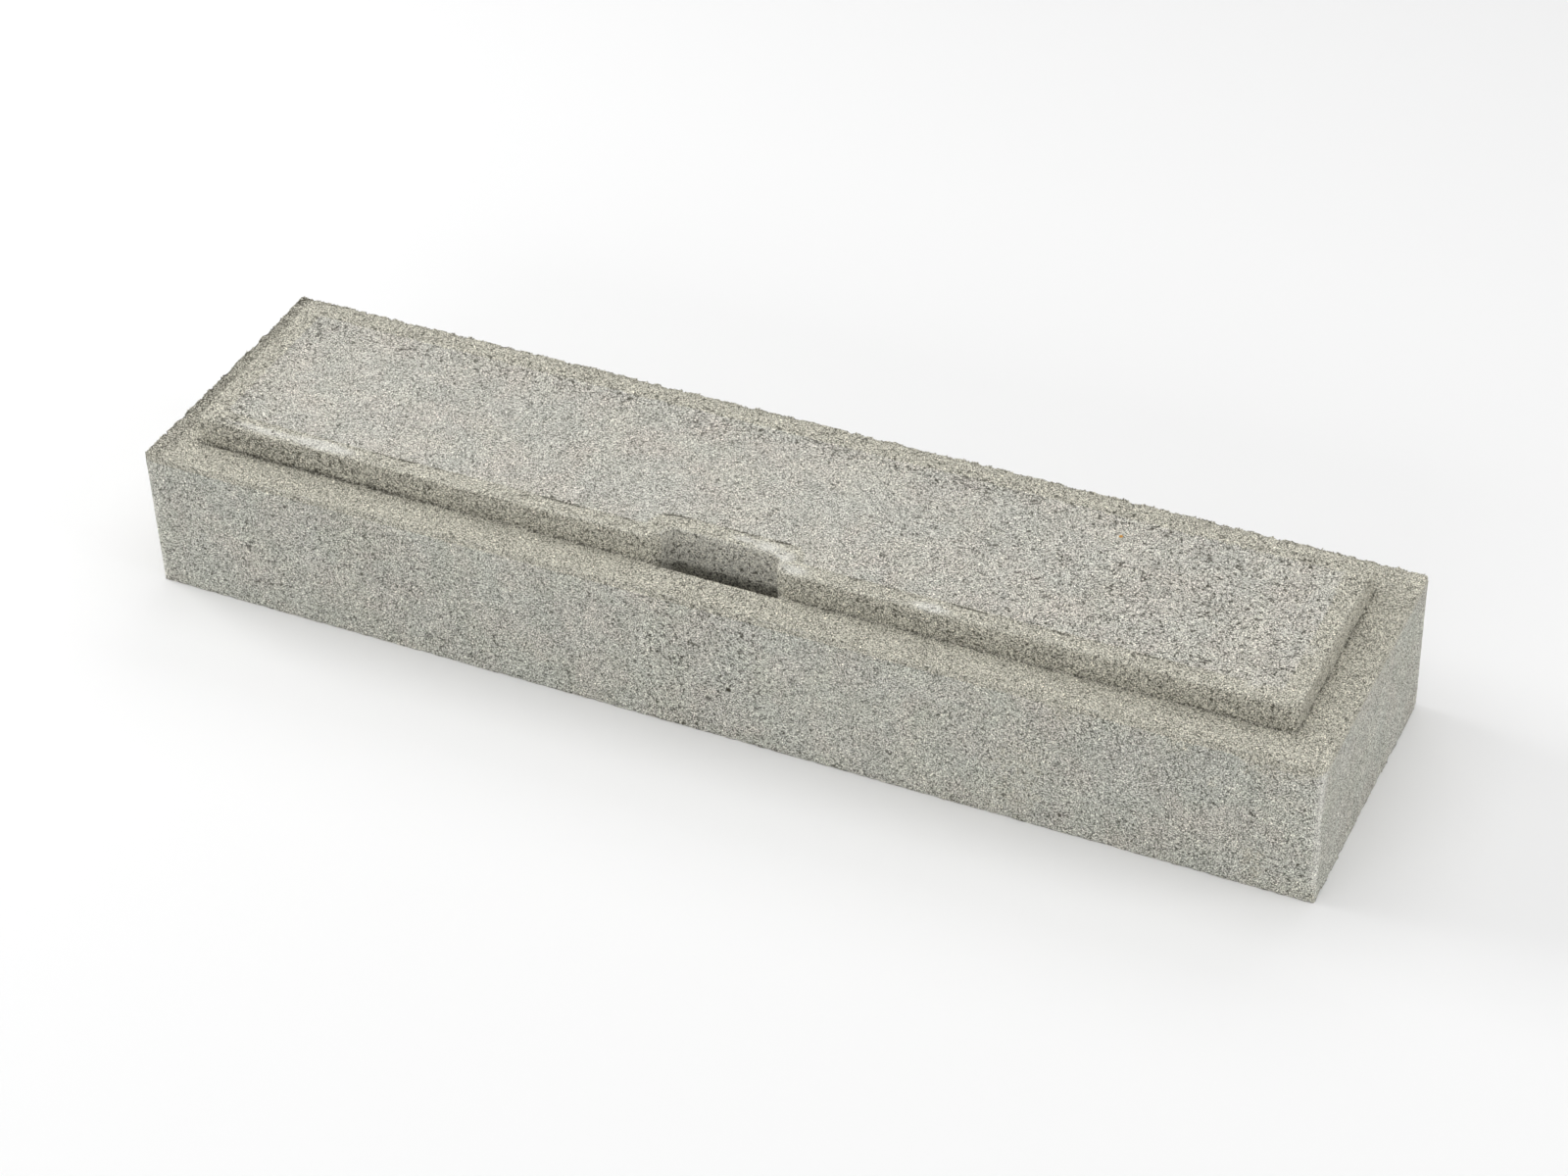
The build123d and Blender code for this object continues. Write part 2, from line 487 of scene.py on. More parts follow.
def pore_group():
    """Torn pores and short crooked cracks, more of them where Share is high."""
    tree, given, result = new_group(
        "Torn pores",
        [("Vector", "NodeSocketVector", None), ("Share", "NodeSocketFloat", 0.5)],
        [("Mask", "NodeSocketFloat")],
    )
    cluster = minus(tree, noise(tree, given["Vector"], 0.05, detail=2.0), 0.5)
    cluster = times(tree, cluster, 0.5)
    share = plus(tree, given["Share"], cluster)

    # Pits: cells bent by a finer noise and drawn out along the block
    values = {"Vector": given["Vector"], "Scale": 0.7, "Detail": 1.0}
    bent = add_node(tree, "ShaderNodeTexNoise", values, noise_dimensions="3D").outputs["Color"]
    bent = vector_maths(tree, "SCALE", bent, 3.2, "Scale")
    bent = vector_maths(tree, "ADD", bent, given["Vector"])
    distance, chance = cell_pattern(tree, vector_maths(tree, "MULTIPLY", bent, (0.55, 1.0, 1.0)), 0.42)
    pits = fade(tree, distance, 0.27, 0.19)
    pits = times(tree, pits, maths(tree, "LESS_THAN", chance[0], times(tree, share, 0.8)))

    # Cracks: the middle line of a noise, broken into parts by another
    bends = noise(tree, given["Vector"], 0.20, detail=3.0, roughness=0.65, distortion=0.6)
    bends = maths(tree, "ABSOLUTE", minus(tree, bends, 0.5))
    crack = minus(tree, 1.8, times(tree, bends, 26.0), clamp=True)
    parts = noise(tree, given["Vector"], 0.30, detail=2.0, roughness=0.6, distortion=0.4)
    limit = minus(tree, 0.655, times(tree, share, 0.165))
    parts = times(tree, minus(tree, parts, limit), 70.0, clamp=True)
    crack = times(tree, crack, parts)
    tree.links.new(larger(tree, pits, crack), result["Mask"])
    return tree


def patch_group():
    """Slow change from one shade to another, as moisture and mix leave it."""
    tree, given, result = new_group(
        "Broad patches",
        [("Vector", "NodeSocketVector", None), ("Size", "NodeSocketFloat", 60.0)],
        [("Value", "NodeSocketFloat")],
    )
    scale = maths(tree, "DIVIDE", 1.0, given["Size"])
    cloud = noise(tree, given["Vector"], scale, detail=3.0, roughness=0.6, distortion=0.6)
    tree.links.new(fade(tree, cloud, 0.32, 0.68), result["Value"])
    return tree


def rust_group():
    """Rust breaking through a dark rolled skin."""
    tree, given, result = new_group(
        "Surface rust",
        [("Vector", "NodeSocketVector", None), ("Amount", "NodeSocketFloat", 0.5)],
        [("Mask", "NodeSocketFloat"), ("Height", "NodeSocketFloat")],
    )
    bloom = noise(tree, given["Vector"], 0.09, detail=6.0, roughness=0.7, distortion=0.8)
    speck = noise(tree, given["Vector"], 0.9, detail=4.0, roughness=0.7)
    total = plus(tree, bloom, times(tree, speck, 0.5))
    edge = minus(tree, 1.05, times(tree, given["Amount"], 0.6))
    mask = fade(tree, minus(tree, total, edge), -0.12, 0.12)
    tree.links.new(mask, result["Mask"])
    tree.links.new(plus(tree, times(tree, mask, 0.6), speck), result["Height"])
    return tree


def rib_group():
    """Slanting ribs rolled round a straight bar that lies along X."""
    tree, given, result = new_group(
        "Rolled ribs",
        [("Vector", "NodeSocketVector", None), ("Pitch", "NodeSocketFloat", RIB_PITCH)],
        [("Height", "NodeSocketFloat")],
    )
    place = add_node(tree, "ShaderNodeSeparateXYZ", {"Vector": given["Vector"]}).outputs
    slant = plus(tree, place["X"], times(tree, place["Z"], 0.55))
    turn = times(tree, maths(tree, "DIVIDE", slant, given["Pitch"]), 2 * pi)
    tree.links.new(fade(tree, maths(tree, "COSINE", turn), 0.35, 0.85), result["Height"])
    return tree


def in_millimetres(tree):
    """Object position in millimetres."""
    place = tree.nodes.new("ShaderNodeTexCoord").outputs["Object"]
    return vector_maths(tree, "SCALE", place, 1 / MM, "Scale")


def new_material(name):
    """A material with only a Principled shader: the material, its tree and the shader."""
    material = bpy.data.materials.new(name)
    material.use_nodes = True
    tree = material.node_tree
    return material, tree, tree.nodes["Principled BSDF"]


def set_bump(tree, shader, height):
    """Surface relief, from a height in millimetres."""
    bump = add_node(tree, "ShaderNodeBump", {"Height": height, "Strength": 1.0, "Distance": MM})
    tree.links.new(bump.outputs["Normal"], shader.inputs["Normal"])


def concrete_material(casting, finish, groups):
    """Dry cast concrete: sandy grain, torn pores, grey pressed faces, sandy ledges and pale skin, with
    painted light and painted shade.
    """
    material, tree, shader = new_material("cast_concrete")
    place = in_millimetres(tree)
    zones = add_node(tree, "ShaderNodeAttribute", attribute_name="zones").outputs
    zone = add_node(tree, "ShaderNodeSeparateColor", {"Color": zones["Color"]}).outputs
    torn = zone[1]

    # Zones with ragged borders
    wander = minus(tree, noise(tree, place, 0.16, detail=4.0, roughness=0.65), 0.5)
    crumble = minus(tree, noise(tree, place, 0.6, detail=3.0, roughness=0.8), 0.5)
    sandy = fade(tree, plus(tree, zone[0], times(tree, wander, 1.3)), 0.3, 0.7)
    pale = fade(tree, plus(tree, zone[2], times(tree, crumble, 1.5)), 0.15, 0.95)
    # Painted shade in the creases, the groove and the slot, with the dark open joint
    shade_and_joints = fade(tree, plus(tree, zones["Alpha"], times(tree, crumble, 2.8)), 0.42, 0.66)

    # Grain, pores and patches
    contrast = plus(tree, 0.92, times(tree, torn, 0.12))
    contrast = times(tree, contrast, finish.grain_contrast)
    contrast = times(tree, contrast, minus(tree, 1.0, times(tree, pale, 0.3)))
    grain = use_group(
        tree, groups["grain"], {"Vector": place, "Size": finish.grain_size / MM, "Contrast": contrast}
    )
    pores = use_group(tree, groups["pore"], {"Vector": place, "Share": torn})["Mask"]
    rosy = use_group(tree, groups["patch"], {"Vector": place, "Size": 38.0})["Value"]
    bluish = use_group(tree, groups["patch"], {"Vector": place, "Size": 55.0})["Value"]
    smudge = use_group(tree, groups["patch"], {"Vector": place, "Size": 13.0})["Value"]

    # Cement of the top, the pressed sides and the sandy faces
    upright = add_node(tree, "ShaderNodeSeparateXYZ", {"Vector": place}).outputs["Z"]
    ledge = (block_high.z - casting.panel_rise) / MM
    upright = fade(tree, upright, ledge - 2, ledge - 6)
    colour = blend_colour(tree, upright, finish.cement, finish.pressed)
    colour = blend_colour(tree, times(tree, rosy, 0.5), colour, finish.rosy)
    colour = blend_colour(tree, times(tree, bluish, 0.5), colour, finish.bluish)
    colour = blend_colour(tree, sandy, colour, finish.sand)

    # Shading: streaks drawn down the sides, smudges and grain
    drawn = vector_maths(tree, "MULTIPLY", place, (1.0, 1.0, 0.05))
    drawn = minus(tree, noise(tree, drawn, 0.35, detail=3.0, roughness=0.7), 0.5)
    drawn = times(tree, times(tree, drawn, 0.35), upright)
    lift = plus(tree, 0.955, times(tree, smudge, 0.09))
    lift = plus(tree, lift, drawn)
    lift = times(tree, lift, grain["Tone"])
    warmth = plus(tree, 0.89, times(tree, maths(tree, "MINIMUM", grain["Tone"], 1.0), 0.12))
    grey = as_grey(tree, lift, times(tree, lift, warmth))
    colour = blend_colour(tree, 1.0, colour, grey, "MULTIPLY")

    # Pale cement skin over the grain, and painted light on the notch's walls and the front of the ledge
    grey = as_grey(tree, plus(tree, 0.45, times(tree, grain["Tone"], 0.55)))
    skin = blend_colour(tree, 1.0, finish.laitance_and_light, grey, "MULTIPLY")
    colour = blend_colour(tree, times(tree, pale, 0.9), colour, skin)

    # Painted shade in the pores, the pit, the creases, the groove and the slot, the dark open joint, and the
    # rusty speck
    dark = larger(tree, times(tree, pores, 0.9), times(tree, shade_and_joints, 0.88))
    pit = plus(tree, distance_to(tree, place, FRONT_PIT), times(tree, crumble, 5.0))
    pit = fade(tree, pit, 2.6, 1.6)
    dark = larger(tree, dark, pit)
    colour = blend_colour(tree, dark, colour, finish.pore_shade)
    speck = plus(tree, distance_to(tree, place, RUST_SPECK), times(tree, crumble, 2.0))
    colour = blend_colour(tree, fade(tree, speck, 2.2, 1.2), colour, finish.rust_speck)
    tree.links.new(colour, shader.inputs["Base Color"])

    height = times(tree, grain["Height"], finish.grain_depth / MM)
    height = times(tree, height, minus(tree, 1.0, times(tree, pale, 0.6)))
    height = minus(tree, height, times(tree, dark, 0.5))
    set_bump(tree, shader, height)
    tree.links.new(fade(tree, pale, 0.0, 1.0, 0.95, 0.75), shader.inputs["Roughness"])
    shader.inputs["Specular IOR Level"].default_value = 0.25
    return material


def steel_material(name, rolled, rust, rust_amount, groups, rib_height=0.0):
    """Dark rolled or drawn steel with rust coming through, and ribs in millimetres where it has them."""
    material, tree, shader = new_material(name)
    place = in_millimetres(tree)
    rusty = use_group(tree, groups["rust"], {"Vector": place, "Amount": rust_amount})
    shade = noise(tree, place, 0.4, detail=4.0)
    scale = blend_colour(tree, shade, rolled, tuple(2.2 * part for part in rolled))
    bloom = blend_colour(tree, shade, rust, tuple(1.8 * part for part in rust))
    colour = blend_colour(tree, rusty["Mask"], scale, bloom)
    tree.links.new(colour, shader.inputs["Base Color"])
    tree.links.new(fade(tree, rusty["Mask"], 0.0, 1.0, 0.75, 0.05), shader.inputs["Metallic"])
    tree.links.new(fade(tree, rusty["Mask"], 0.0, 1.0, 0.42, 0.9), shader.inputs["Roughness"])
    height = times(tree, rusty["Height"], 0.12)
    if rib_height:
        ribs = use_group(tree, groups["rib"], {"Vector": place, "Pitch": RIB_PITCH})["Height"]
        height = plus(tree, height, times(tree, ribs, rib_height))
    set_bump(tree, shader, height)
    return material


def mortar_material(finish, groups):
    """Dense grey mortar of the cover blocks."""
    material, tree, shader = new_material("spacer_mortar")
    place = in_millimetres(tree)
    grain = use_group(tree, groups["grain"], {"Vector": place, "Size": 0.8, "Contrast": 0.5})
    pores = use_group(tree, groups["pore"], {"Vector": place, "Share": 0.3})["Mask"]
    cloud = use_group(tree, groups["patch"], {"Vector": place, "Size": 14.0})["Value"]
    colour = blend_colour(tree, cloud, finish.mortar, tuple(0.8 * part for part in finish.mortar))
    colour = blend_colour(tree, 1.0, colour, as_grey(tree, grain["Tone"]), "MULTIPLY")
    colour = blend_colour(tree, times(tree, pores, 0.7), colour, finish.pore_shade)
    tree.links.new(colour, shader.inputs["Base Color"])
    tree.links.new(fade(tree, grain["Tone"], 0.8, 1.2, 0.95, 0.8), shader.inputs["Roughness"])
    height = minus(tree, times(tree, grain["Height"], 0.12), times(tree, pores, 0.4))
    set_bump(tree, shader, height)
    return material


def shared_groups():
    """The node groups, made once."""
    makers = {
        "grain": ("Sand grain", grain_group),
        "pore": ("Torn pores", pore_group),
        "patch": ("Broad patches", patch_group),
        "rust": ("Surface rust", rust_group),
        "rib": ("Rolled ribs", rib_group),
    }
    return {key: bpy.data.node_groups.get(name) or make() for key, (name, make) in makers.items()}


# ---------------------------------------------------------------- the casting


def casting_plan(casting):
    """Where the faces of the block, its panel, notch and slot lie, in millimetres."""
    plan = SimpleNamespace()
    plan.half_x, plan.half_y, plan.top = (value / MM for value in block_high)
    plan.ledge = plan.top - casting.panel_rise / MM
    plan.step = casting.ledge_width / MM
    plan.panel_x = plan.half_x - plan.step
    plan.panel_y = plan.half_y - plan.step
    plan.notch_x = casting.notch_length / 2 / MM
    plan.notch_y = -plan.panel_y + casting.notch_depth / MM
    plan.slot_x = plan.notch_x + casting.slot_end_margin / MM
    plan.slot_y = -plan.panel_y - casting.slot_front_margin / MM
    plan.slot_floor = (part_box("bottom_bar_front")[1].z + casting.slot_cover) / MM
    plan.border = casting.border_width / MM
    plan.foot = casting.foot_gap / MM
    return plan


def casting_skin(casting, plan):
    """Corner points and quads of the casting, with square corners and finer cells at its edges."""
    fine = casting.fine_step / MM
    right = [plan.notch_x, plan.slot_x, plan.notch_x + plan.border]
    right += [plan.panel_x - plan.border, plan.panel_x, plan.half_x]
    xs = graded([-value for value in right[::-1]] + right, fine, casting.along_step / MM)
    stops = [-plan.half_y, plan.slot_y, -plan.panel_y, -plan.panel_y + plan.border]
    stops += [plan.notch_y, plan.notch_y + plan.border]
    stops += [plan.panel_y - plan.border, plan.panel_y, plan.half_y]
    ys = graded(stops, fine, casting.across_step / MM)
    stops = [plan.foot, plan.slot_floor, plan.ledge, plan.top]
    zs = graded(stops, fine, casting.upright_step / MM)

    x, y, z = np.meshgrid(*((line[1:] + line[:-1]) / 2 for line in (xs, ys, zs)), indexing="ij")
    in_panel = (abs(x) < plan.panel_x) & (abs(y) < plan.panel_y)
    in_notch = (abs(x) < plan.notch_x) & (y < plan.notch_y)
    in_ledge = (abs(x) < plan.slot_x) & (y > plan.slot_y) & (y < -plan.panel_y)
    in_slot = (z > plan.slot_floor) & (in_notch & (y > -plan.panel_y) | in_ledge)
    solid = ((z < plan.ledge) | in_panel & ~in_notch) & ~in_slot
    return skin_of(solid, (xs, ys, zs))


def round_corners(points, casting, plan):
    """Rounds the upright corners of the block, the panel and the notch."""
    block, panel = casting.block_corner / MM, casting.panel_corner / MM
    mouth, back = casting.notch_mouth / MM, casting.notch_back / MM
    height = points[:, 2]
    low, high = height < plan.ledge - TOUCH, height > plan.ledge - TOUCH
    beside_slot = height > plan.slot_floor - TOUCH
    outer = np.maximum(plan.half_x - abs(points[:, 0]), plan.half_y - abs(points[:, 1])) < 2 * block
    for side in (-1, 1):
        for end in (-1, 1):
            toward = np.array([side, end])
            centre = toward * (np.array([plan.half_x, plan.half_y]) - block)
            round_corner(points, low | outer, centre, toward, block)
            centre = toward * (np.array([plan.panel_x, plan.panel_y]) - panel)
            round_corner(points, high, centre, toward, panel)
        centre = np.array([side * (plan.notch_x + mouth), -plan.panel_y + mouth])
        round_corner(points, beside_slot, centre, np.array([-side, -1]), mouth)
        centre = np.array([side * (plan.notch_x - back), plan.notch_y - back])
        round_corner(points, beside_slot, centre, np.array([side, 1]), back)


def lie_of(points, plan):
    """Where each point lies while the edges are still sharp: its distances from sides and rims."""
    x, y, z = points.T
    lie = SimpleNamespace(ax=abs(x), ay=abs(y))
    lie.to_side = np.minimum(plan.half_x - lie.ax, plan.half_y - lie.ay)
    lie.from_notch = np.hypot(np.maximum(lie.ax - plan.notch_x, 0), np.maximum(y - plan.notch_y, 0))
    lie.inset = np.minimum(np.minimum(plan.panel_x - lie.ax, plan.panel_y - lie.ay), lie.from_notch)
    outside = np.hypot(np.maximum(lie.ax - plan.panel_x, 0), np.maximum(lie.ay - plan.panel_y, 0))
    on_panel = z > plan.ledge + 0.5
    lie.rim = np.where(on_panel, np.hypot(np.maximum(lie.inset, 0), plan.top - z), FAR)
    lie.ledge_rim = np.where(z < plan.ledge + 0.5, np.hypot(lie.to_side, plan.ledge - z), FAR)
    lie.foot_rim = np.hypot(lie.to_side, z)
    foot_line = np.where(on_panel, z - plan.ledge, np.where(z > plan.ledge - 0.5, outside, FAR))
    lie.foot_line = np.where((lie.ax > plan.slot_x) | (y > plan.notch_y + 2), foot_line, FAR)
    lie.worn_back = np.maximum(bell(plan.half_y - y, 60), bell(plan.half_x + x, 60))
    return lie


def worn_relief(points, seed, plan, lie):
    """Relief in millimetres out of the surface, and where the casting is worn."""
    x, y, z = points.T
    on_top = ramp(z, plan.top - 2.5, plan.top - 1.0)
    out = 0.25 * rough(points, 75, seed) + 0.13 * rough(points, 17, seed + 1)
    out += 0.10 * rough(points, 3.4, seed + 2)

    # Crumbled rims
    lumps = rough(points, 5.5, seed + 3) + 0.7 * rough(points, 2.8, seed + 4)
    crumbs = np.maximum(lumps + 0.25, 0)
    far_rim = np.maximum(bell(plan.half_y - y, 6), bell(x + plan.half_x, 6))
    ragged = bell(lie.ledge_rim, 2.6) * (0.35 + 1.1 * far_rim) + bell(lie.foot_rim, 2.2) * 0.6
    ragged += bell(lie.rim, 2.6) * (0.30 + 1.1 * lie.worn_back)
    out -= 1.4 * crumbs * ragged

    # Burr along the front edge of the ledge
    lip = bell(lie.ledge_rim, 1.4) * bell(y + plan.half_y, 3) * (z > plan.ledge - 1.5)
    out += 0.6 * lip * np.clip(0.4 + 1.2 * rough(points, 9, seed + 5), 0, 1)

    # Open joint at the panel's foot, torn on the left of the front
    torn_step = ramp(-x, 230, 300) * ramp(x, -475, -430) * (y < 0)
    opened = np.clip(0.35 + 1.1 * rough(points, 6, seed + 6) + 0.6 * torn_step, 0, 1.5)
    crack = bell(lie.foot_line, 1.3) * opened
    out -= 0.5 * crack
    torn_off = torn_step * bell(lie.foot_line, 8)
    out += 0.8 * torn_off * rough(points, 4.5, seed + 7)

    # Broken line inside the panel's border, and the sunken field behind it
    broken = np.clip(0.6 + 1.1 * rough(points, 14, seed + 8), 0, 1)
    line_strength = broken * ramp(-y, 20, 50) * ramp(-x, -430, -340) * ramp(x, -330, -280)
    wavy_inset = lie.inset + 0.8 * rough(points, 22, seed + 9)
    line = on_top * bell(wavy_inset - plan.border, 1.7) * line_strength
    out -= 0.6 * line
    in_field = ramp(lie.inset, plan.border, plan.border + 2)
    out -= 0.25 * on_top * in_field
    out -= 0.15 * on_top * in_field * np.maximum(rough(points, 4, seed + 10), 0)

    wear = SimpleNamespace(on_top=on_top, crumbs=crumbs, ragged=ragged, lip=lip)
    wear.torn_step, wear.crack, wear.torn_off, wear.line = torn_step, crack, torn_off, line
    return out, wear


def sandy_and_torn(points, seed, plan, lie, wear):
    """Where sand shows through the cement skin, and where the skin is torn off, from 0 to 1."""
    x, y, z = points.T
    on_top, to_right = wear.on_top, ramp(x, 50, 350)
    field = on_top * ramp(lie.inset, plan.border - 1, plan.border + 3 + 10 * lie.worn_back)
    side = ramp(-z, -(plan.ledge - 5.5), -(plan.ledge - 7.5)) * (lie.to_side < 5)
    patches = ramp(x, 60, 330) * ramp(rough(points, 30, seed + 14), 0.0, 0.6)
    side *= 1 - 0.5 * patches * (y < -plan.half_y + 2)
    sandy = 1 - np.maximum(field * (1 - 0.28 * to_right), side)

    from_far = np.minimum(plan.panel_x + x, plan.panel_y - y)
    belt = bell(from_far - 1.7 * plan.border, 1.2 * plan.border)
    torn = on_top * (0.15 + np.maximum(0.50 * belt, 0.36 * to_right * (lie.inset > plan.border)))
    on_step = np.clip(1 - side - on_top, 0, 1) * (lie.to_side > plan.step - 1.5)
    torn = np.maximum(torn, on_step * (0.42 + 0.25 * wear.torn_step))
    torn = np.maximum(torn, 0.35 * ((lie.from_notch < 0.8) & (z < plan.top - 1)))
    return sandy, np.maximum(torn, 0.12 * side)


def pale_marks(points, seed, plan, lie, wear):
    """Where the casting is paler, from 0 to 1: pale cement skin, and painted light on the notch's walls and
    the front of the ledge.
    """
    x, y, z = points.T
    pale = 0.35 * wear.on_top * bell(lie.inset - 2.2, 2.0) * np.clip(rough(points, 30, seed + 12), 0, 1)
    for along, across, reach, spread, strength in PALE_MARKS:
        mark = bell(np.hypot((x - along) / reach, (y - across) / spread), 1.15)
        pale = np.maximum(pale, strength * wear.on_top * mark)
    # Painted light on the notch's walls, down to 20 mm below the ledge
    in_notch = (lie.from_notch < 0.8) & (y > -plan.panel_y + 2) & (lie.ax < plan.notch_x + 1)
    pale = np.maximum(pale, 0.52 * (in_notch & (z > plan.ledge - 20)))
    # Painted light on the front of the ledge, from just right of the notch
    along_ledge = bell(y + plan.half_y - 13, 14) * (abs(z - plan.ledge) < 0.5)
    pale = np.maximum(pale, 0.22 * ramp(x, 60, 110) * along_ledge)
    pale = np.maximum(pale, 0.55 * wear.lip * np.clip(0.5 + rough(points, 12, seed + 13), 0, 1))
    arris = bell(np.hypot(plan.half_x - lie.ax, plan.half_y - lie.ay), 8)
    arris = arris * ramp(-z, -(plan.ledge - 1), -(plan.ledge - 4))
    streaks = np.clip(0.6 + rough(points * (1, 1, 0.25), 6, seed + 15), 0, 1)
    return np.maximum(pale, 0.85 * arris * streaks)


def hollow_shade(points, plan, lie, wear):
    """Painted shade along the panel's foot, in the groove inside the border, on the crumbled rims, on the
    ledge's left end and down the slot's walls, with the dark open joint, from 0 to 1.
    """
    x, _, z = points.T
    # Painted shade in the crease at the panel's foot and in the groove, with the dark open joint; darker on
    # the torn clump
    shade_and_joints = (
        0.18 * bell(lie.foot_line, 3.5)
        + 0.20 * bell(lie.foot_line, 1.6)
        + 0.18 * wear.crack
        + 0.75 * wear.line
        + 0.12 * wear.torn_off
    )
    # Painted shade on the ledge at the left end and on the crumbled rims
    left_end = bell(x + plan.half_x, 30) * (abs(z - plan.ledge) < 1)
    shade_and_joints += 0.35 * wear.crumbs * np.minimum(wear.ragged, 1) + 0.44 * left_end
    # Painted shadow cast by the slot's front edge down the slot's walls
    deep_in_slot = (lie.to_side > 25) * ramp(-z, -(plan.ledge - 5), -(plan.ledge - 9))
    return np.clip(np.maximum(shade_and_joints, 0.35 * deep_in_slot), 0, 1)


def casting_surface(casting):
    """Points, quads, zones for the finish and loose grains of the casting, in millimetres."""
    plan = casting_plan(casting)
    points, quads = casting_skin(casting, plan)
    round_corners(points, casting, plan)
    lie = lie_of(points, plan)
    rests = points[:, 2] < plan.foot + TOUCH
    pairs = edge_pairs(quads)
    relax(points, pairs, bell(lie.rim, 1.8) * (0.45 + 0.45 * lie.worn_back), 3)
    relax(points, pairs, np.maximum(bell(lie.ledge_rim, 1.3), bell(lie.foot_rim, 1.3)) * 0.6, 1)

    seed = casting.seed
    out, wear = worn_relief(points, seed, plan, lie)
    sandy, torn = sandy_and_torn(points, seed, plan, lie, wear)
    pale = pale_marks(points, seed, plan, lie, wear)
    shade_and_joints = hollow_shade(points, plan, lie, wear)

    points += normals_of(points, quads) * out[:, None]
    points[rests, 2] = plan.foot
    furthest = (plan.half_x + 0.5, plan.half_y + 0.4, plan.top + 0.2)
    nearest = (-plan.half_x - 0.5, -plan.half_y - 0.4, plan.foot)
    np.clip(points, nearest, furthest, out=points)
    likely = wear.ragged * (1.2 - 0.7 * shade_and_joints)
    likely = likely + 0.9 * wear.crack * (0.5 + wear.torn_step) + 0.8 * wear.torn_off
    grains = loose_grains(points, likely * (points[:, 2] > 0.6), casting)
    return points, quads, np.stack([sandy, torn, pale, shade_and_joints], 1), grains


def loose_grains(points, likely, casting):
    """Sand grains bound to the broken edges: small, uneven, eight-sided and half sunk."""
    pick = np.random.default_rng(casting.seed + 20)
    count = casting.grains
    chosen = pick.choice(len(points), count, p=likely / likely.sum())
    tips = np.array([(1, 0, 0), (0, 1, 0), (-1, 0, 0), (0, -1, 0), (0, 0, 1), (0, 0, -1)], float)
    turn = np.linalg.qr(pick.normal(size=(count, 3, 3)))[0]
    turn *= np.sign(np.linalg.det(turn))[:, None, None]
    radius = casting.grain_radius / MM * pick.uniform(0.55, 1.15, (count, 6, 1))
    radius = radius * pick.uniform(0.6, 1.2, (count, 1, 1))
    centre = points[chosen] + pick.uniform(-0.5, 0.5, (count, 3))
    corners = centre[:, None] + (tips * radius) @ turn
    sides = [(i, (i + 1) % 4, 4) for i in range(4)] + [((i + 1) % 4, i, 5) for i in range(4)]
    faces = np.array(sides) + 6 * np.arange(count)[:, None, None]
    return corners.reshape(-1, 3), faces.reshape(-1, 3)


def underside(quads):
    """The underside as one face: the open rim of the skin, in order."""
    first, second = quads.ravel(), np.roll(quads, -1, axis=1).ravel()
    count = quads.max() + 1
    rim = ~np.isin(first * count + second, second * count + first)
    following = dict(zip(second[rim].tolist(), first[rim].tolist()))
    ring = [next(iter(following))]
    while following[ring[-1]] != ring[0]:
        ring.append(following[ring[-1]])
    return ring


class BARRIER_OT_concrete_block(bpy.types.Operator):
    """Builds the casting with worn edges, open joints and sandy faces"""

    bl_idname = "barrier.concrete_block"
    bl_label = "Concrete block"

    def execute(self, context):
        casting = context.scene.barrier_casting
        points, quads, zones, (grains, sides) = casting_surface(casting)
        faces = quads.tolist() + [underside(quads)] + (sides + len(points)).tolist()
        points = np.concatenate([points, grains])
        zones = np.concatenate([zones, np.tile((1.0, 0.0, 0.15, 0.0), (len(grains), 1))])
        material = concrete_material(casting, context.scene.barrier_finish, shared_groups())
        piece = new_piece("concrete_casting", (points * MM).tolist(), faces, material)
        shade = piece.data.attributes.new("zones", "FLOAT_COLOR", "POINT")
        shade.data.foreach_set("color", zones.astype(np.float32).ravel())
        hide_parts("concrete_block")
        return {"FINISHED"}


# ---------------------------------------------------------------- the cage


def dress(names, material):
    """Gives carried-over parts their finish."""
    for name in names:
        slots = frame["nodes"][name].data.materials
        slots.clear()
        slots.append(material)


def nodes_in_slot(slot):
    """Names of the parts whose finish is this slot of the record."""
    return [part["node"] for part in frame["record"]["subparts"] if part["material_slot"] == slot]


class BARRIER_OT_reinforcement(bpy.types.Operator):
    """Finishes the bars and links with rolled steel"""

    bl_idname = "barrier.reinforcement"
    bl_label = "Bars and links"

    def execute(self, context):
        finish = context.scene.barrier_finish
        names = nodes_in_slot("reinforcing_steel")
        links = [name for name in names if name.startswith("link_")]
        bars = [name for name in names if name not in links]
        groups = shared_groups()
        dress(bars, steel_material("ribbed_bar", finish.mill_scale, finish.rust, 0.6, groups, RIB_HEIGHT))
        dress(links, steel_material("link_bar", finish.mill_scale, finish.rust, 0.6, groups))
        return {"FINISHED"}


class BARRIER_OT_tie_wires(bpy.types.Operator):
    """Finishes the tie wires with black annealed wire"""

    bl_idname = "barrier.tie_wires"
    bl_label = "Tie wires"

    def execute(self, context):
        finish = context.scene.barrier_finish
        material = steel_material("annealed_wire", finish.wire_black, finish.rust, 0.25, shared_groups())
        dress(nodes_in_slot("annealed_wire"), material)
        return {"FINISHED"}


class BARRIER_OT_cover_spacers(bpy.types.Operator):
    """Finishes the cover blocks with mortar"""

    bl_idname = "barrier.cover_spacers"
    bl_label = "Cover spacers"

    def execute(self, context):
        material = mortar_material(context.scene.barrier_finish, shared_groups())
        dress(nodes_in_slot("spacer_mortar"), material)
        return {"FINISHED"}


# ---------------------------------------------------------------- the stage


def direction(azimuth, elevation):
    """Unit vector from the block towards a place round it; azimuth 0 is in front and pi / 2 at the right."""
    level = cos(elevation)
    return Vector((sin(azimuth) * level, -cos(azimuth) * level, sin(elevation)))


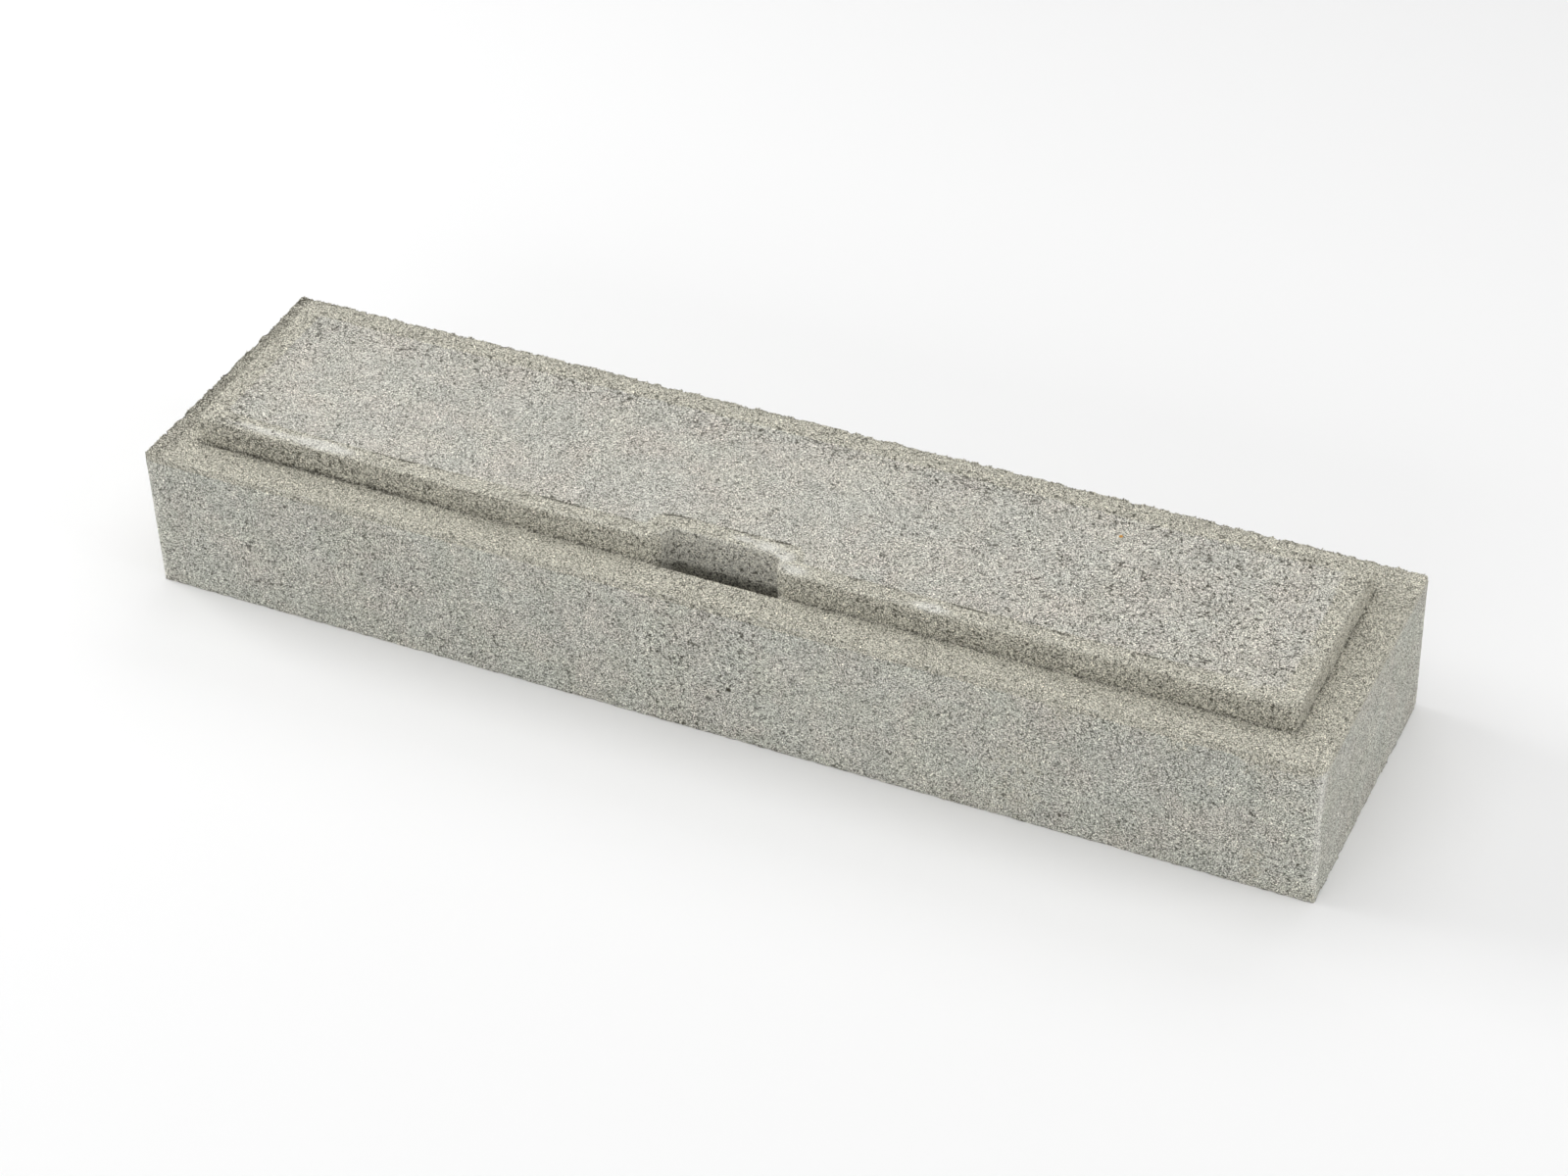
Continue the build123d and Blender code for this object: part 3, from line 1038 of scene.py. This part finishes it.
def add_lamp(name, power, azimuth, elevation, distance, width, height):
    """A soft rectangular lamp aimed at the middle of the block; angles in degrees."""
    data = bpy.data.lights.new(name, "AREA")
    data.shape = "RECTANGLE"
    data.energy = power
    data.size = width
    data.size_y = height
    lamp = bpy.data.objects.new(name, data)
    outward = direction(radians(azimuth), radians(elevation))
    lamp.location = (block_low + block_high) / 2 + outward * distance
    lamp.rotation_euler = (-outward).to_track_quat("-Z", "Y").to_euler()
    bpy.context.scene.collection.objects.link(lamp)


class BARRIER_OT_stage(bpy.types.Operator):
    """Sets the floor, soft lamps and camera"""

    bl_idname = "barrier.stage"
    bl_label = "Stage"

    def execute(self, context):
        stage = context.scene.barrier_stage
        mesh = bpy.data.meshes.new("studio_floor")
        reach = stage.floor_reach
        corners = [(-reach, -reach, 0), (reach, -reach, 0), (reach, reach, 0), (-reach, reach, 0)]
        mesh.from_pydata(corners, [], [(0, 1, 2, 3)])
        floor = bpy.data.objects.new("studio_floor", mesh)
        context.scene.collection.objects.link(floor)
        material, tree, shader = new_material("studio_floor")
        shader.inputs["Base Color"].default_value = (*stage.floor_tint, 1.0)
        shader.inputs["Roughness"].default_value = 0.9
        mesh.materials.append(material)

        world = bpy.data.worlds.new("studio")
        world.use_nodes = True
        backdrop = world.node_tree.nodes["Background"]
        backdrop.inputs["Color"].default_value = (1.0, 1.0, 1.0, 1.0)
        backdrop.inputs["Strength"].default_value = stage.ambient
        context.scene.world = world

        context.scene.view_settings.view_transform = "Standard"
        for name, place in LAMPS.items():
            add_lamp(name, getattr(stage, name), *place)

        data = bpy.data.cameras.new("camera")
        data.lens = stage.lens
        data.sensor_width = 36.0
        data.clip_end = 50.0
        camera = bpy.data.objects.new("camera", data)
        back = direction(stage.azimuth, stage.elevation)
        turn = (-back).to_track_quat("-Z", "Y").to_matrix().to_4x4() @ Matrix.Rotation(stage.roll, 4, "Z")
        camera.matrix_world = Matrix.Translation(Vector(stage.aim) + back * stage.distance) @ turn
        context.scene.collection.objects.link(camera)
        context.scene.camera = camera
        return {"FINISHED"}


class BARRIER_PT_panel(bpy.types.Panel):
    """Sidebar panel with the sizes, finishes and steps"""

    bl_idname = "BARRIER_PT_panel"
    bl_label = "Concrete barrier block"
    bl_space_type = "VIEW_3D"
    bl_region_type = "UI"
    bl_category = "Barrier"

    def draw(self, context):
        for setting, kind in SETTINGS.items():
            box = self.layout.box()
            for name in kind.__annotations__:
                box.prop(getattr(context.scene, setting), name)
        for operator in STEPS:
            self.layout.operator(operator.bl_idname)


STEPS = (
    BARRIER_OT_stage,
    BARRIER_OT_concrete_block,
    BARRIER_OT_reinforcement,
    BARRIER_OT_tie_wires,
    BARRIER_OT_cover_spacers,
)
SETTINGS = {
    "barrier_casting": BarrierCasting,
    "barrier_finish": BarrierFinish,
    "barrier_stage": BarrierStage,
}


def register():
    """Adds the classes and the scene's settings."""
    for kind in (*SETTINGS.values(), *STEPS, BARRIER_PT_panel):
        bpy.utils.register_class(kind)
    for name, kind in SETTINGS.items():
        setattr(bpy.types.Scene, name, PointerProperty(type=kind))


def unregister():
    """Takes them away again."""
    for name in SETTINGS:
        delattr(bpy.types.Scene, name)
    for kind in (BARRIER_PT_panel, *reversed(STEPS), *SETTINGS.values()):
        bpy.utils.unregister_class(kind)


def main():
    """Builds the whole scene."""
    register()
    for operator in STEPS:
        group, name = operator.bl_idname.split(".")
        getattr(getattr(bpy.ops, group), name)()


if __name__ == "__main__":
    main()
